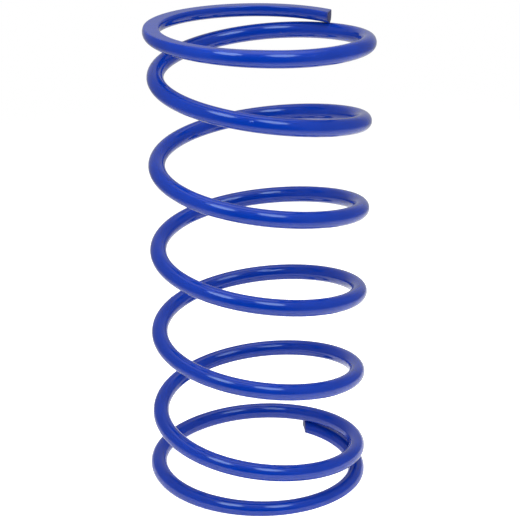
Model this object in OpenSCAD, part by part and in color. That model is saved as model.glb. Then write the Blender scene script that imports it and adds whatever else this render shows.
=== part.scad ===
// Torque spring of a scooter's belt drive: one round wire wound into an open coil, which
// presses the driven pulley shut. Its end coils are closed onto their neighbours and ground
// flat, so it stands square on either end. The origin is on the coil's axis at the lower
// ground face, and +Z runs up the axis. All sizes are in millimetres.

/* [Wire] */
// Diameter of the round wire
wire_d = 4; // [2.5:0.1:5]

/* [Coil] */
// Diameter over the outside of the active coils
outside_d = 54.4; // [40:0.1:80]
// Height between the two ground faces with no load
free_length = 117; // [90:0.5:160]
// Turns of wire from tip to tip, with the closed turn at each end
total_turns = 7.038; // [5:0.002:10]
// Hand of the winding
winding = "left"; // [left, right]
// Bearing of the lower tip round the axis, in degrees from +X
tip_bearing = 60; // [0:1:359]

/* [Closed ends] */
// Stretch of each closed turn that lies level, in turns from the tip
level_turns = 0.25; // [0.1:0.05:0.6]
// Stretch past the lower closed turn where the pitch opens to its full value, in turns
lower_opening = 0.45; // [0.1:0.01:0.8]
// Stretch past the upper closed turn where the pitch opens to its full value, in turns
upper_opening = 0.2; // [0.1:0.01:0.8]
// Gap between each tip and the coil that it is closed onto
tip_gap = 0.1; // [0.08:0.01:0.4]
// Thickness that grinding takes off the wire at the lower tip
lower_grind = 1.4; // [0.4:0.1:1.6]
// Thickness that grinding takes off the wire at the upper tip
upper_grind = 1; // [0.4:0.1:1.6]
// Slant of the shear cut at each tip away from square, seen along the axis, in degrees
cut_slant = 35; // [0:1:40]
// How far the upper end coil spreads outside the active coils
upper_spread = 0.9; // [0:0.1:2]
// How far the lower end coil spreads outside the active coils
lower_spread = 0.2; // [0:0.1:2]
// Stretch at each tip that turns back in from that spread, in line with the active coils, in turns
turned_in = 0.12; // [0.05:0.01:0.25]

/* [Facets] */
// Sides of the wire's section
wire_sides = 16; // [10:2:18]
// Sections along one turn of the wire
sections_per_turn = 42; // [24:2:42]

/* [Hidden] */

paint = [0.09, 0.17, 0.60];

wire_r = wire_d / 2;
mean_r = outside_d / 2 - wire_r;
hand = winding == "left" ? -1 : 1;

// Corners stand out just far enough for a section to keep the round wire's area
corner_r = wire_r * sqrt(2 * PI / wire_sides / sin(360 / wire_sides));
last_section = ceil(total_turns * sections_per_turn);

// Distance of the wire's centre at each tip from the ground face there
lower_tip = wire_r - lower_grind;
upper_tip = wire_r - upper_grind;
// Height gained over a closed turn, which brings the tip onto the next coil
closed_rise = wire_d + tip_gap;
// Pitch that a closed turn has reached where it ends
closed_pitch = 2 * closed_rise / (1 - level_turns);
// Pitch of the active coils, from the height and turns that the ends leave for them
both_openings = lower_opening + upper_opening;
ends_height = lower_tip + upper_tip + 2 * closed_rise + closed_pitch * both_openings / 2;
pitch = (free_length - ends_height) / (total_turns - 2 - both_openings / 2);

// Height gained so many turns into an opening stretch
function opening_rise(turns, opening) =
    closed_pitch * turns + (pitch - closed_pitch) * turns ^ 2 / (2 * opening);

// Height gained so many turns from a tip: level, then closed, opening and at full pitch
function rise(turns, opening) =
    turns <= level_turns ? 0
    : turns <= 1 ? closed_rise * ((turns - level_turns) / (1 - level_turns)) ^ 2
    : turns <= 1 + opening ? closed_rise + opening_rise(turns - 1, opening)
    : closed_rise + opening_rise(opening, opening) + pitch * (turns - 1 - opening);

// Share of its spread that an end coil has so many turns from its tip: none there, then all, then none
function ease(share) = 1 - share ^ 2 * (3 - 2 * share);
function turned_out(turns) = 1 - max(1 - turns / turned_in, 0) ^ 2;
function spread_share(turns, opening) = turned_out(turns)
    * ease(min(max((turns - level_turns) / (1 + opening - level_turns), 0), 1));

// The wire's centre line, counted in turns up from the lower tip
function bearing(turns) = tip_bearing + hand * 360 * turns;
function reach(turns) = mean_r
    + lower_spread * spread_share(turns, lower_opening)
    + upper_spread * spread_share(total_turns - turns, upper_opening);
function height(turns) = turns < total_turns / 2
    ? lower_tip + rise(turns, lower_opening)
    : free_length - upper_tip - rise(total_turns - turns, upper_opening);
function outward(turns) = [cos(bearing(turns)), sin(bearing(turns)), 0];
function centre(turns) = reach(turns) * outward(turns) + [0, 0, height(turns)];

// One section of the wire, square to its centre line or at a slant to it
function unit(v) = v / norm(v);
function section(turns, slant, small_step = 0.001) =
    let (
        along = unit(centre(turns + small_step) - centre(turns - small_step)),
        up = unit(cross(along, outward(turns))),
        across = cross(up, along) - tan(slant) * along
    )
    [for (k = [0 : wire_sides - 1])
        let (angle = 360 * k / wire_sides)
        centre(turns) + corner_r * (cos(angle) * across + sin(angle) * up)];

// The coil as wound and cut off, before its ends are ground
module wound_wire() {
    sections = [for (i = [0 : last_section])
        let (at_tip = i == 0 || i == last_section)
        section(total_turns * i / last_section, at_tip ? cut_slant : 0)];
    walls = [for (i = [0 : last_section - 1], k = [0 : wire_sides - 1])
        let (
            a = i * wire_sides + k,
            b = i * wire_sides + (k + 1) % wire_sides
        )
        [a, a + wire_sides, b + wire_sides, b]];
    lower_cut = [for (k = [0 : wire_sides - 1]) k];
    upper_cut = [for (k = [wire_sides - 1 : -1 : 0]) last_section * wire_sides + k];
    polyhedron([for (s = sections) each s], concat([lower_cut, upper_cut], walls), convexity = 20);
}

// The space between the two grinding wheels, wider than the coil
module grinding_space() {
    side = outside_d + 2 * (wire_d + upper_spread + lower_spread);
    translate([-side / 2, -side / 2, 0])
        cube([side, side, free_length]);
}

module torque_spring() {
    color(paint)
        intersection() {
            wound_wire();
            grinding_space();
        }
}

torque_spring();
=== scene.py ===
"""Torque spring of a scooter's belt drive: a left-hand coil of round wire in gloss blue paint.

The wire is swept along the same centre line as the solid, at the same sizes, with a finer mesh
and softened edges where it was ground and cut. The paint's thickness, the grains that dried into it
and the places where the pictured coil strays from a true one are added.
"""
import math

import bpy
import numpy as np
from mathutils import Matrix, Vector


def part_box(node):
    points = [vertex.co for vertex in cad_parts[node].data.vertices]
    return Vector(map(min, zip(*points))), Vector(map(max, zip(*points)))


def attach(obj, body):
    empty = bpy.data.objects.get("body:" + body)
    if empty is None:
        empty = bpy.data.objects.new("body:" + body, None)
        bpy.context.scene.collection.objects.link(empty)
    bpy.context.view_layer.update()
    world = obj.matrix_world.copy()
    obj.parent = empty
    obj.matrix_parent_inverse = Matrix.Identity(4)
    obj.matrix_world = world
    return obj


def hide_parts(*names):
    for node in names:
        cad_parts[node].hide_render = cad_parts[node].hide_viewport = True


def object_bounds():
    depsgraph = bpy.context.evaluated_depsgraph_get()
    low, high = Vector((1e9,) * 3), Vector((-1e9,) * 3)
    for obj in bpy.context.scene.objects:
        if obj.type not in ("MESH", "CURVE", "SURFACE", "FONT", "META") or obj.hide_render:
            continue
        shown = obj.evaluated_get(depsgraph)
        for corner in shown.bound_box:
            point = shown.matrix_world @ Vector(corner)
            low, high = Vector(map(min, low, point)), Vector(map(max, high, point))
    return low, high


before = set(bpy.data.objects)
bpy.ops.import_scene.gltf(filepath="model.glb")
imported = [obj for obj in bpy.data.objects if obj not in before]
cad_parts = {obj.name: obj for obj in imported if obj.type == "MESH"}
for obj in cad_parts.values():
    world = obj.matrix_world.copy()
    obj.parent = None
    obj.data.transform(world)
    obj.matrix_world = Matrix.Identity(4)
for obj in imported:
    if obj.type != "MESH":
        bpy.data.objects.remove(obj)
cad_low, cad_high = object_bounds()

NODE = "torque_spring"
MM = 0.001

# Sizes of the spring in millimetres and turns, as in its solid
WIRE_D = 4.0
OUTSIDE_D = 54.4
TOTAL_TURNS = 7.038
TIP_BEARING = math.radians(60)
LEVEL_TURNS = 0.25
LOWER_OPENING = 0.45
UPPER_OPENING = 0.2
TIP_GAP = 0.1
LOWER_GRIND = 1.4
UPPER_GRIND = 1.0
CUT_SLANT = math.radians(35)
UPPER_SPREAD = 0.9
LOWER_SPREAD = 0.2
TURNED_IN = 0.12
node_low, node_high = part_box(NODE)
FREE_LENGTH = (node_high.z - node_low.z) / MM

WIRE_R = WIRE_D / 2
MEAN_R = OUTSIDE_D / 2 - WIRE_R
TURN_LENGTH = 2 * math.pi * MEAN_R
LOWER_TIP = WIRE_R - LOWER_GRIND
UPPER_TIP = WIRE_R - UPPER_GRIND
CLOSED_RISE = WIRE_D + TIP_GAP
CLOSED_PITCH = 2 * CLOSED_RISE / (1 - LEVEL_TURNS)
BOTH_OPENINGS = LOWER_OPENING + UPPER_OPENING
ENDS_HEIGHT = LOWER_TIP + UPPER_TIP + 2 * CLOSED_RISE + CLOSED_PITCH * BOTH_OPENINGS / 2
PITCH = (FREE_LENGTH - ENDS_HEIGHT) / (TOTAL_TURNS - 2 - BOTH_OPENINGS / 2)

# Fineness of the mesh
SIDES = 112
RINGS_PER_TURN = 90
TIP_ROUND_RINGS = 5
CUT_FACE_RINGS = 6

# Strips that the wire is laid out in for the bake. The margin round each, and the places of the two
# cut faces along the picture, are shares of it
BAKE_STRIPS = 9
BAKE_MARGIN = 0.008
BAKE_CUTS = (0.1, 0.2)

# Thickness of the paint on the wire, in millimetres
PAINT = 0.05
# Where the pictured coil strays from a true one: turns up the wire, reach in turns, and how far it
# strays outwards and upwards in millimetres
STRAYS = [
    (0.20, 0.08, 0.3, 0.0),
    (0.46, 0.12, 0.0, 0.25),
    (0.69, 0.10, 0.7, 0.0),
    (1.16, 0.12, 0.4, 0.0),
    (3.96, 0.15, 0.0, -0.22),
    (4.34, 0.12, 0.0, 0.12),
    (5.38, 0.24, 0.0, 0.42),
    (6.13, 0.10, 0.45, 0.0),
    (6.22, 0.10, 0.0, 0.28),
]

# How far paint softens the edges of the ground faces and of the cut tips, in millimetres
GROUND_EDGE = 0.45
TIP_EDGE = 0.2
# Depth of grinding at which the paint has the full look of a ground face, in millimetres
GROUND_FADE = 0.2 * GROUND_EDGE
# A direction round the wire that nears a ground face more slowly than this never reaches it
LEAST_SLOPE = 0.05
OUT_OF_REACH = 10 * WIRE_D
# Length of wire over which its sections turn from the slant of a cut to square, in millimetres
SLANT_FADE = 6.0

# Grains in the paint: turns up the wire, degrees round it from its outer side, and height and radius in
# millimetres
GRAINS = [
    (6.344, 25, 0.11, 0.17),
    (6.094, 151, 0.14, 0.2),
    (6.043, 126, 0.14, 0.2),
    (5.953, -179, 0.11, 0.17),
    (5.428, 21, 0.17, 0.27),
    (4.95, 10, 0.13, 0.2),
    (4.417, -38, 0.15, 0.24),
    (3.6, -120, 0.12, 0.18),
    (2.75, 60, 0.14, 0.22),
    (1.9, 35, 0.1, 0.16),
    (1.2, 140, 0.13, 0.2),
]
# Rings of the mesh over a grain, and how many times its radius they reach to either side
GRAIN_RINGS = 13
GRAIN_REACH = 3.0


def opening_rise(turns, opening):
    """Height gained so many turns into an opening stretch."""
    return CLOSED_PITCH * turns + (PITCH - CLOSED_PITCH) * turns**2 / (2 * opening)


def rise(turns, opening):
    """Height gained so many turns from a tip: level, then closed, opening and at full pitch."""
    closing = np.clip((turns - LEVEL_TURNS) / (1 - LEVEL_TURNS), 0, 1)
    opened = np.clip(turns - 1, 0, opening)
    active = np.maximum(turns - 1 - opening, 0)
    return CLOSED_RISE * closing**2 + opening_rise(opened, opening) + PITCH * active


def spread_share(turns, opening):
    """Share of its spread that an end coil has so many turns from its tip: none, all, then none."""
    share = np.clip((turns - LEVEL_TURNS) / (1 + opening - LEVEL_TURNS), 0, 1)
    turned_out = 1 - np.maximum(1 - turns / TURNED_IN, 0) ** 2
    return turned_out * (1 - share**2 * (3 - 2 * share))


def outward(turns):
    """The level way from the coil's axis to the wire."""
    bearing = TIP_BEARING - 2 * math.pi * turns
    return np.stack([np.cos(bearing), np.sin(bearing), np.zeros_like(bearing)], -1)


def centre(turns):
    """Points of the wire's centre line, counted in turns up from the lower tip."""
    reach = MEAN_R + LOWER_SPREAD * spread_share(turns, LOWER_OPENING)
    reach = reach + UPPER_SPREAD * spread_share(TOTAL_TURNS - turns, UPPER_OPENING)
    from_bottom = LOWER_TIP + rise(turns, LOWER_OPENING)
    from_top = FREE_LENGTH - UPPER_TIP - rise(TOTAL_TURNS - turns, UPPER_OPENING)
    height = np.where(turns < TOTAL_TURNS / 2, from_bottom, from_top)
    for at_turns, wide, out, up in STRAYS:
        share = np.exp(-(((turns - at_turns) / wide) ** 2))
        reach = reach + out * share
        height = height + up * share
    points = reach[..., None] * outward(turns)
    points[..., 2] = height
    return points


def unit(vectors):
    return vectors / np.linalg.norm(vectors, axis=-1, keepdims=True)


def wire_axes(turns, small_step=0.001):
    """The two axes of the wire's section: away from the coil's axis, and up."""
    along = unit(centre(turns + small_step) - centre(turns - small_step))
    up = unit(np.cross(along, outward(turns)))
    return np.cross(up, along), up


def soft_min(a, b, width):
    """The lesser of a and b, with the corner between them rounded over that width."""
    overlap = np.maximum(width - np.abs(a - b), 0)
    return np.minimum(a, b) - overlap**2 / (4 * np.maximum(width, 1e-9))


def ground(radius, clearance, slope):
    """Radius of a section whose wire is ground at that clearance from its centre, and the ground share.

    slope is how fast each direction round the wire nears the ground face.
    """
    reached = np.where(slope > LEAST_SLOPE, clearance / np.maximum(slope, LEAST_SLOPE), OUT_OF_REACH)
    chord = np.sqrt(np.clip(1 - (clearance / WIRE_R) ** 2, 0, 1))
    share = np.clip((radius - reached) / GROUND_FADE, 0, 1)
    return soft_min(radius, reached, GROUND_EDGE * chord), share


def grain_height(turns, angle):
    """Height of the grains in the paint above the wire."""
    height = np.zeros_like(turns)
    for at_turns, at_degrees, tall, wide in GRAINS:
        off = np.mod(angle - math.radians(at_degrees) + math.pi, 2 * math.pi) - math.pi
        apart = (((turns - at_turns) * TURN_LENGTH) ** 2 + (off * WIRE_R) ** 2) / wide**2
        height += tall * np.exp(-apart)
    return height


def stations():
    """Turns at which the wire has a ring: evenly spread, and closer over each grain."""
    even = np.linspace(0, TOTAL_TURNS, math.ceil(TOTAL_TURNS * RINGS_PER_TURN) + 1)
    close = []
    for at_turns, _, _, wide in GRAINS:
        reach = GRAIN_REACH * wide / TURN_LENGTH
        even = even[np.abs(even - at_turns) > reach]
        close.append(np.linspace(at_turns - reach, at_turns + reach, GRAIN_RINGS))
    return np.sort(np.concatenate([even[1:-1], *close]))


def tip_profile():
    """Rings that close a tip, from its centre out: millimetres from the cut, and share of the radius."""
    inner = np.linspace(0, 1, CUT_FACE_RINGS, endpoint=False)[1:] * (1 - TIP_EDGE / WIRE_R)
    turn = np.linspace(0, math.pi / 2, TIP_ROUND_RINGS)
    depth = np.concatenate([np.zeros_like(inner), TIP_EDGE * (1 - np.cos(turn))])
    share = np.concatenate([inner, 1 - TIP_EDGE / WIRE_R * (1 - np.sin(turn))])
    return depth, share


def spring_rings():
    """Every ring of the wire in order: its turns, and its share of the wire's radius."""
    depth, share = tip_profile()
    body = stations()
    lower = depth / TURN_LENGTH
    upper = TOTAL_TURNS - lower[::-1]
    body = body[(body > lower[-1]) & (body < upper[0])]
    turns = np.concatenate([lower, body, upper])
    shares = np.concatenate([share, np.ones_like(body), share[::-1]])
    return turns, shares


def skin(turns, angle):
    """The wire's middle, the way out of it, its radius and its ground share, at each turn and angle."""
    across, up = wire_axes(turns)
    way = np.cos(angle)[..., None] * across + np.sin(angle)[..., None] * up
    middle = centre(turns)
    radius = WIRE_R + PAINT + grain_height(turns, angle)
    radius, upper_share = ground(radius, FREE_LENGTH - middle[..., 2], way[..., 2])
    radius, lower_share = ground(radius, middle[..., 2], -way[..., 2])
    return middle, way, radius, np.maximum(upper_share, lower_share)


def spring_points():
    """Points of all the rings, and at each the share of grinding and of closeness to a cut edge."""
    turns, shares = spring_rings()
    at, angle = np.meshgrid(turns, np.linspace(0, 2 * math.pi, SIDES, endpoint=False), indexing="ij")
    from_tip = np.minimum(at, TOTAL_TURNS - at) * TURN_LENGTH
    slant = math.tan(CUT_SLANT) * np.clip(1 - from_tip / SLANT_FADE, 0, 1)
    share = shares[:, None]
    lean = slant * share * skin(at, angle)[2] * np.cos(angle) / TURN_LENGTH
    middle, way, radius, ground_share = skin(at - lean, angle)
    points = middle + (share * radius)[..., None] * way
    cut_share = np.clip(1 - from_tip / (2 * TIP_EDGE), 0, 1)
    return points, ground_share, cut_share


def bake_layout(mesh):
    """Lay the wire out in level strips for the bake, with the two cut faces above them."""
    turns, shares = spring_rings()
    rings = len(turns)
    room = 1 - 2 * BAKE_MARGIN
    unit_mm = TOTAL_TURNS * TURN_LENGTH / BAKE_STRIPS / room
    height = 2 * math.pi * WIRE_R / unit_mm
    ring = np.array([[0, 0, 1, 1]]) + np.arange(rings - 1)[:, None]
    side = np.array([[0, 1, 1, 0]]) + np.arange(SIDES)[:, None]
    middle = (turns[:-1] + turns[1:]) / 2
    strip = np.floor(BAKE_STRIPS * middle / TOTAL_TURNS).clip(0, BAKE_STRIPS - 1)
    along = BAKE_MARGIN + room * (BAKE_STRIPS * turns[ring] / TOTAL_TURNS - strip[:, None])
    along = np.repeat(along[:, None, :], SIDES, 1)
    across = BAKE_MARGIN + strip[:, None, None] * (height + BAKE_MARGIN) + height * side[None] / SIDES
    walls = np.stack([along, across], -1)

    # The rings of a cut face lie round its pole instead
    spoke = 2 * math.pi * side / SIDES
    ways = np.stack([np.cos(spoke), np.sin(spoke)], -1)
    reach = shares * WIRE_R / unit_mm
    cut_rings = len(tip_profile()[0])
    lower_rings = range(cut_rings - 1)
    upper_rings = range(rings - cut_rings, rings - 1)
    poles = [np.array([place, 1 - BAKE_MARGIN - WIRE_R / unit_mm]) for place in BAKE_CUTS]
    for pole, face_rings in zip(poles, (lower_rings, upper_rings)):
        for k in face_rings:
            walls[k] = pole + reach[ring[k]][None, :, None] * ways
    rim = reach[0] * ways
    hubs = [np.broadcast_to(pole, (SIDES, 2)) for pole in poles]
    lower = np.stack([hubs[0], poles[0] + rim[:, 1], poles[0] + rim[:, 0]], 1)
    upper = np.stack([hubs[1], poles[1] + rim[:, 0], poles[1] + rim[:, 1]], 1)
    layout = np.concatenate([faces.reshape(-1, 2) for faces in (walls, lower, upper)])
    layer = mesh.uv_layers.new(name="OFBake")
    layer.data.foreach_set("uv", layout.ravel().astype(np.float32))


def spring_mesh():
    """The painted wire, closed at its two tips."""
    points, ground_share, cut_share = spring_points()
    rings = len(points)
    index = np.arange(rings * SIDES).reshape(rings, SIDES)
    beside = np.roll(index, -1, 1)
    walls = np.stack([index[:-1], beside[:-1], beside[1:], index[1:]], -1).reshape(-1, 4)
    lower_pole = rings * SIDES
    upper_pole = lower_pole + 1
    lower_fan = [(lower_pole, b, a) for a, b in zip(index[0], beside[0])]
    upper_fan = [(upper_pole, a, b) for a, b in zip(index[-1], beside[-1])]
    poles = [points[0].mean(0), points[-1].mean(0)]
    vertices = np.concatenate([points.reshape(-1, 3), poles]) * MM
    faces = walls.tolist() + lower_fan + upper_fan

    mesh = bpy.data.meshes.new("torque_spring_wire")
    mesh.from_pydata(vertices.tolist(), [], faces)
    mesh.polygons.foreach_set("use_smooth", [True] * len(faces))
    for name, share in (("ground", ground_share), ("cut_edge", cut_share)):
        values = np.concatenate([share.ravel(), share[0, :1], share[-1, :1]])
        layer = mesh.attributes.new(name, "FLOAT", "POINT")
        layer.data.foreach_set("value", values.astype(np.float32))
    bake_layout(mesh)
    mesh.update()
    return mesh


# Colours of the paint, as linear shares of red, green and blue
DEEP_BLUE = (0.0011, 0.032, 0.34)
PALE_BLUE = (0.0015, 0.037, 0.385)
# Cut faces: thinner paint, made darker still as painted shade, as where the lower tip lies under the coil
# above
THIN_PAINT_AND_SHADE = (0.03, 0.026, 0.06)
PAINT_IOR = 1.58
# Height of the paint's orange peel and of its slow waves in millimetres
ORANGE_PEEL = 0.02
WAVES = 0.05
# Noise of the mottle, the gloss, the orange peel and the waves: how many to a metre, and detail
MOTTLE_NOISE = (90, 3)
GLOSS_NOISE = (500, 2)
PEEL_NOISE = (800, 2)
WAVE_NOISE = (220, 1)
# Roughness of the paint, on ground faces and on cut ones
GLOSS = (0.03, 0.06)
GROUND_DULL = 0.12
CUT_DULL = 0.45
# Share of the dark cut-face colour (thinner paint, darkened further as painted shade) on a cut face, and
# how close to the cut the paint starts to grow thinner, darker and duller
THIN_AND_SHADE_SHARE = 0.8
CUT_LOOK_START = 0.2


def blue_paint():
    """Gloss blue paint with a slight mottle and orange peel, duller where ground; on the cut tips thinner,
    and darker as painted shade.
    """
    material = bpy.data.materials.new("gloss_blue_paint")
    material.use_nodes = True
    nodes = material.node_tree.nodes
    links = material.node_tree.links
    shader = nodes["Principled BSDF"]
    shader.inputs["IOR"].default_value = PAINT_IOR
    place = nodes.new("ShaderNodeTexCoord").outputs["Object"]

    def noise(scale, detail):
        texture = nodes.new("ShaderNodeTexNoise")
        texture.inputs["Scale"].default_value = scale
        texture.inputs["Detail"].default_value = detail
        links.new(place, texture.inputs["Vector"])
        return texture.outputs["Fac"]

    def spread(value, low, high, start=0.3, end=0.7):
        node = nodes.new("ShaderNodeMapRange")
        node.inputs["From Min"].default_value = start
        node.inputs["From Max"].default_value = end
        node.inputs["To Min"].default_value = low
        node.inputs["To Max"].default_value = high
        links.new(value, node.inputs["Value"])
        return node.outputs["Result"]

    def join(operation, first, second):
        node = nodes.new("ShaderNodeMath")
        node.operation = operation
        links.new(first, node.inputs[0])
        links.new(second, node.inputs[1])
        return node.outputs[0]

    def blend(share, first, second):
        node = nodes.new("ShaderNodeMix")
        node.data_type = "RGBA"
        colours = [s for s in node.inputs if s.type == "RGBA"]
        for socket, colour in zip(colours, (first, second)):
            if isinstance(colour, tuple):
                socket.default_value = (*colour, 1)
            else:
                links.new(colour, socket)
        links.new(share, node.inputs["Factor"])
        return next(s for s in node.outputs if s.type == "RGBA")

    def attribute(name):
        node = nodes.new("ShaderNodeAttribute")
        node.attribute_name = name
        return node.outputs["Fac"]

    cut = attribute("cut_edge")
    mottle = blend(spread(noise(*MOTTLE_NOISE), 0, 1), DEEP_BLUE, PALE_BLUE)
    # Towards the cut faces the paint turns to the dark colour: thinner paint plus painted shade
    thin_and_shade = spread(cut, 0, THIN_AND_SHADE_SHARE, CUT_LOOK_START, 1)
    links.new(blend(thin_and_shade, mottle, THIN_PAINT_AND_SHADE), shader.inputs["Base Color"])

    gloss = spread(noise(*GLOSS_NOISE), *GLOSS)
    ground_dull = spread(attribute("ground"), 0, GROUND_DULL, 0, 1)
    cut_dull = spread(cut, 0, CUT_DULL, CUT_LOOK_START, 1)
    roughness = join("MAXIMUM", gloss, join("MAXIMUM", ground_dull, cut_dull))
    links.new(roughness, shader.inputs["Roughness"])

    peel = nodes.new("ShaderNodeBump")
    peel.inputs["Strength"].default_value = 1
    peel.inputs["Distance"].default_value = MM
    orange_peel = spread(noise(*PEEL_NOISE), 0, ORANGE_PEEL, 0, 1)
    waves = spread(noise(*WAVE_NOISE), 0, WAVES, 0, 1)
    links.new(join("ADD", orange_peel, waves), peel.inputs["Height"])
    links.new(peel.outputs["Normal"], shader.inputs["Normal"])
    return material


def make_spring():
    spring = bpy.data.objects.new("torque_spring_painted", spring_mesh())
    bpy.context.scene.collection.objects.link(spring)
    spring.data.materials.append(blue_paint())
    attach(spring, "root")
    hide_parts(NODE)


# The studio: a pale floor under two soft boxes, in a grey room with a white ceiling. The boxes are
# mirrored in the paint, and the fill lights give its own colour
FLOOR_GAP = 0.00003
FLOOR_WHITE = 0.9
# The floor fades out round this point between two radii
FLOOR_MIDDLE = (0.05, 0.03)
FLOOR_CLEAR = 0.03
FLOOR_END = 0.36
FLOOR_SIDES = 64
# Light that the floor gives besides what it gets, as a lit table does, and what the camera sees of it
FLOOR_GLOW = 0.365
FLOOR_SHOWN = 1.0
# Brightness of the room from the camera's side to the far side, as its reflections show it
ROOM_GLOW = [(0.0, 0.01), (0.25, 0.25), (0.5, 0.27), (0.85, 0.277), (1.0, 0.465)]
CEILING_GLOW = 0.93
CEILING_WAY = (0, 0.2, 0.98)
CEILING_INNER = math.radians(10)
CEILING_OUTER = math.radians(38)
BACKDROP_WHITE = 1.0
# Soft boxes: angle from straight up, bearing to the right of the camera's side, turn about their own
# axis, and radiance
SOFT_BOXES = [
    (math.radians(36), math.radians(-37), math.radians(-20), 5.2),
    (math.radians(34), math.radians(34), math.radians(8), 4.9),
]
SOFT_BOX_COLOUR = (0.6, 0.8, 1.0)
SOFT_BOX_DISTANCE = 0.9
SOFT_BOX_WIDTH = 0.44
SOFT_BOX_LENGTH = 0.60
# A soft box fades between these two shares of its half size
SOFT_BOX_CLEAR = 0.6
SOFT_BOX_END = 0.97
# Fill lights, which are not mirrored in the paint: name, place, side and radiance
FILL_LIGHTS = [
    ("fill_front", (0, -0.17, 0.12), 0.1, 4.1),
    ("fill_high_left", (-0.13, -0.1, 0.22), 0.1, 6.4),
    ("fill_high_right", (0.13, -0.1, 0.22), 0.1, 2.6),
    ("fill_right", (0.35, -0.02, 0.12), 0.2, 1.8),
    ("fill_overhead", (0.02, 0, 0.6), 0.4, 1.8),
]


def make_floor():
    """A pale round floor that fades out, so that it ends without an edge."""
    mesh = bpy.data.meshes.new("floor")
    turn = [2 * math.pi * k / FLOOR_SIDES for k in range(FLOOR_SIDES)]
    rim = [(FLOOR_END * math.cos(a), FLOOR_END * math.sin(a), 0) for a in turn]
    mesh.from_pydata(rim, [], [range(FLOOR_SIDES)])
    floor = bpy.data.objects.new("floor", mesh)
    floor.location = (*FLOOR_MIDDLE, node_low.z - FLOOR_GAP)
    bpy.context.scene.collection.objects.link(floor)

    material = bpy.data.materials.new("pale_floor")
    material.use_nodes = True
    nodes = material.node_tree.nodes
    links = material.node_tree.links
    shader = nodes["Principled BSDF"]
    shader.inputs["Base Color"].default_value = (FLOOR_WHITE, FLOOR_WHITE, FLOOR_WHITE, 1)
    shader.inputs["Roughness"].default_value = 1
    shader.inputs["Specular IOR Level"].default_value = 0
    shader.inputs["Emission Color"].default_value = (1, 1, 1, 1)
    glow = nodes.new("ShaderNodeMix")
    links.new(nodes.new("ShaderNodeLightPath").outputs["Is Camera Ray"], glow.inputs["Factor"])
    glow.inputs["A"].default_value = FLOOR_GLOW
    glow.inputs["B"].default_value = FLOOR_SHOWN
    links.new(glow.outputs["Result"], shader.inputs["Emission Strength"])
    reach = nodes.new("ShaderNodeVectorMath")
    reach.operation = "LENGTH"
    links.new(nodes.new("ShaderNodeTexCoord").outputs["Object"], reach.inputs[0])
    fade = nodes.new("ShaderNodeMapRange")
    fade.interpolation_type = "SMOOTHSTEP"
    fade.inputs["From Min"].default_value = FLOOR_CLEAR
    fade.inputs["From Max"].default_value = FLOOR_END
    fade.inputs["To Min"].default_value = 1
    fade.inputs["To Max"].default_value = 0
    links.new(reach.outputs["Value"], fade.inputs["Value"])
    links.new(fade.outputs["Result"], shader.inputs["Alpha"])
    floor.data.materials.append(material)


def make_room():
    """Soft light from the room, whose backdrop shows plain white."""
    world = bpy.data.worlds.new("studio_room")
    bpy.context.scene.world = world
    world.use_nodes = True
    nodes = world.node_tree.nodes
    links = world.node_tree.links
    way = nodes.new("ShaderNodeTexCoord").outputs["Generated"]

    depth = nodes.new("ShaderNodeSeparateXYZ")
    links.new(way, depth.inputs[0])
    share = nodes.new("ShaderNodeMapRange")
    share.inputs["From Min"].default_value = -1
    links.new(depth.outputs["Y"], share.inputs["Value"])
    walls = nodes.new("ShaderNodeValToRGB")
    walls.color_ramp.interpolation = "EASE"
    stops = walls.color_ramp.elements
    while len(stops) < len(ROOM_GLOW):
        stops.new(1)
    for stop, (place, glow) in zip(stops, ROOM_GLOW):
        stop.position = place
        stop.color = (glow, glow, glow, 1)
    links.new(share.outputs["Result"], walls.inputs["Fac"])

    towards = nodes.new("ShaderNodeVectorMath")
    towards.operation = "DOT_PRODUCT"
    towards.inputs[1].default_value = CEILING_WAY
    links.new(way, towards.inputs[0])
    ceiling = nodes.new("ShaderNodeMapRange")
    ceiling.interpolation_type = "SMOOTHSTEP"
    ceiling.inputs["From Min"].default_value = math.cos(CEILING_OUTER)
    ceiling.inputs["From Max"].default_value = math.cos(CEILING_INNER)
    ceiling.inputs["To Max"].default_value = CEILING_GLOW
    links.new(towards.outputs["Value"], ceiling.inputs["Value"])
    glow = nodes.new("ShaderNodeMath")
    glow.operation = "ADD"
    links.new(walls.outputs["Color"], glow.inputs[0])
    links.new(ceiling.outputs["Result"], glow.inputs[1])

    shown = nodes.new("ShaderNodeMix")
    links.new(nodes.new("ShaderNodeLightPath").outputs["Is Camera Ray"], shown.inputs["Factor"])
    links.new(glow.outputs[0], shown.inputs["A"])
    shown.inputs["B"].default_value = BACKDROP_WHITE
    background = nodes["Background"]
    background.inputs["Color"].default_value = (1, 1, 1, 1)
    links.new(shown.outputs["Result"], background.inputs["Strength"])


def make_fill_lights():
    middle = (cad_low + cad_high) / 2
    for name, place, side, radiance in FILL_LIGHTS:
        light = bpy.data.lights.new(name, "AREA")
        light.size = side
        light.energy = radiance * math.pi * side**2
        lamp = bpy.data.objects.new(name, light)
        lamp.location = place
        lamp.rotation_euler = (lamp.location - middle).to_track_quat("Z", "Y").to_euler()
        lamp.visible_camera = False
        lamp.visible_glossy = False
        bpy.context.scene.collection.objects.link(lamp)


def soften(light):
    """Let a soft box fade out from its middle."""
    light.use_nodes = True
    nodes = light.node_tree.nodes
    links = light.node_tree.links
    off = nodes.new("ShaderNodeVectorMath")
    off.operation = "DISTANCE"
    off.inputs[1].default_value = (0.5, 0.5, 0)
    links.new(nodes.new("ShaderNodeNewGeometry").outputs["Parametric"], off.inputs[0])
    fade = nodes.new("ShaderNodeMapRange")
    fade.interpolation_type = "SMOOTHSTEP"
    fade.inputs["From Min"].default_value = SOFT_BOX_CLEAR / 2
    fade.inputs["From Max"].default_value = SOFT_BOX_END / 2
    fade.inputs["To Min"].default_value = 1
    fade.inputs["To Max"].default_value = 0
    links.new(off.outputs["Value"], fade.inputs["Value"])
    links.new(fade.outputs["Result"], nodes["Emission"].inputs["Strength"])


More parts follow.
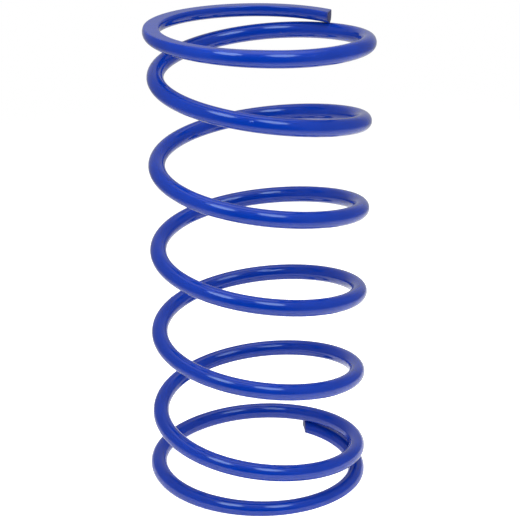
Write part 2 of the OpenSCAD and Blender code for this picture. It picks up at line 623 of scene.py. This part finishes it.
def make_soft_boxes():
    middle = (cad_low + cad_high) / 2
    for number, (lean, bearing, turn, radiance) in enumerate(SOFT_BOXES, 1):
        light = bpy.data.lights.new(f"soft_box_{number}", "AREA")
        light.shape = "RECTANGLE"
        light.size = SOFT_BOX_WIDTH
        light.size_y = SOFT_BOX_LENGTH
        light.color = SOFT_BOX_COLOUR
        light.energy = radiance * math.pi * SOFT_BOX_WIDTH * SOFT_BOX_LENGTH
        soften(light)
        lamp = bpy.data.objects.new(light.name, light)
        side = Matrix.Rotation(bearing, 4, "Z")
        tilt = Matrix.Rotation(lean, 4, "X")
        own = Matrix.Rotation(turn - bearing, 4, "Z")
        away = Matrix.Translation((0, 0, SOFT_BOX_DISTANCE))
        lamp.matrix_world = Matrix.Translation(middle) @ side @ tilt @ own @ away
        lamp.visible_camera = False
        lamp.visible_diffuse = False
        bpy.context.scene.collection.objects.link(lamp)


# The camera, found by fitting the coil's outline to the photograph's
CAMERA_PLACE = (0.00023, -0.38288, 0.19869)
CAMERA_PITCH = math.radians(20.228)
CAMERA_ROLL = math.radians(0.238)
PICTURE_SIDE = 520
FOCAL_LENGTH_PX = 1627.2
SENSOR_WIDTH = 36.0
CLIP_START = 0.01
CLIP_END = 50.0


def make_camera():
    data = bpy.data.cameras.new("camera")
    data.sensor_width = SENSOR_WIDTH
    data.lens = FOCAL_LENGTH_PX * SENSOR_WIDTH / PICTURE_SIDE
    data.clip_start = CLIP_START
    data.clip_end = CLIP_END
    camera = bpy.data.objects.new("camera", data)
    tilt = Matrix.Rotation(math.pi / 2 - CAMERA_PITCH, 4, "X")
    roll = Matrix.Rotation(CAMERA_ROLL, 4, "Z")
    camera.matrix_world = Matrix.Translation(CAMERA_PLACE) @ tilt @ roll
    bpy.context.scene.collection.objects.link(camera)
    bpy.context.scene.camera = camera


make_camera()
make_floor()
make_room()
make_soft_boxes()
make_fill_lights()
make_spring()
bpy.context.scene.view_settings.view_transform = "Standard"

bpy.context.view_layer.update()
